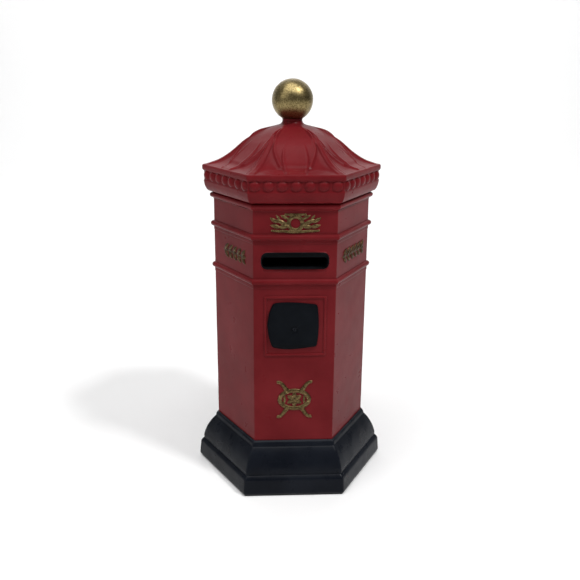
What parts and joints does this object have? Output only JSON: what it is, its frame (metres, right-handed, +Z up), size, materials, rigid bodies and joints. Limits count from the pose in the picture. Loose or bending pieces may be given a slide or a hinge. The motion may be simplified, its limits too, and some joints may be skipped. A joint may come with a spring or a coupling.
{
  "type": "money box",
  "caption": "Hexagonal pillar-box money box with a coin slot, a lift-off domed roof with a ball finial, and a stopper in its base to empty it.",
  "frame": {"origin": "middle of the underside, on the surface that the box stands on", "axes": "+Z up; the front wall with the coin slot faces -Y; two corners of the hexagon lie on the X axis"},
  "size_m": [0.0994, 0.086, 0.2],
  "materials": {
    "red_paint": "satin pillar-box red enamel on cast metal",
    "black_paint": "satin black enamel on cast metal",
    "antique_brass": "brushed, darkened brass",
    "antique_gold": "dull gilt, worn on the high places",
    "black_plastic": "moulded, matt",
    "soft_plastic": "soft black PVC",
    "steel": "zinc plated",
    "felt": "black self-adhesive felt"
  },
  "bodies": {
    "root": {"plinth": "black_paint", "felt_ring": "felt", "base_plate": "black_paint", "base_screws": "steel", "body_shell": "red_paint", "slot_liner": "black_plastic", "notice_plate": "black_paint", "notice_rivet": "steel", "lower_badge": "antique_gold", "crest_badge": "antique_gold", "left_frieze": "antique_gold", "right_frieze": "antique_gold"},
    "roof": {"roof_cap": "red_paint", "ball_finial": "antique_brass", "finial_stud": "steel", "finial_washer": "steel", "finial_nut": "steel"},
    "stopper": {"coin_stopper": "soft_plastic"}
  },
  "joints": [
    {"name": "roof_lift", "type": "slide", "parent": "root", "child": "roof", "axis": [0, 0, 1], "range_m": [0, 0.08]},
    {"name": "stopper_pull", "type": "slide", "parent": "root", "child": "stopper", "axis": [0, 0, -1], "range_m": [0, 0.03]}
  ]
}
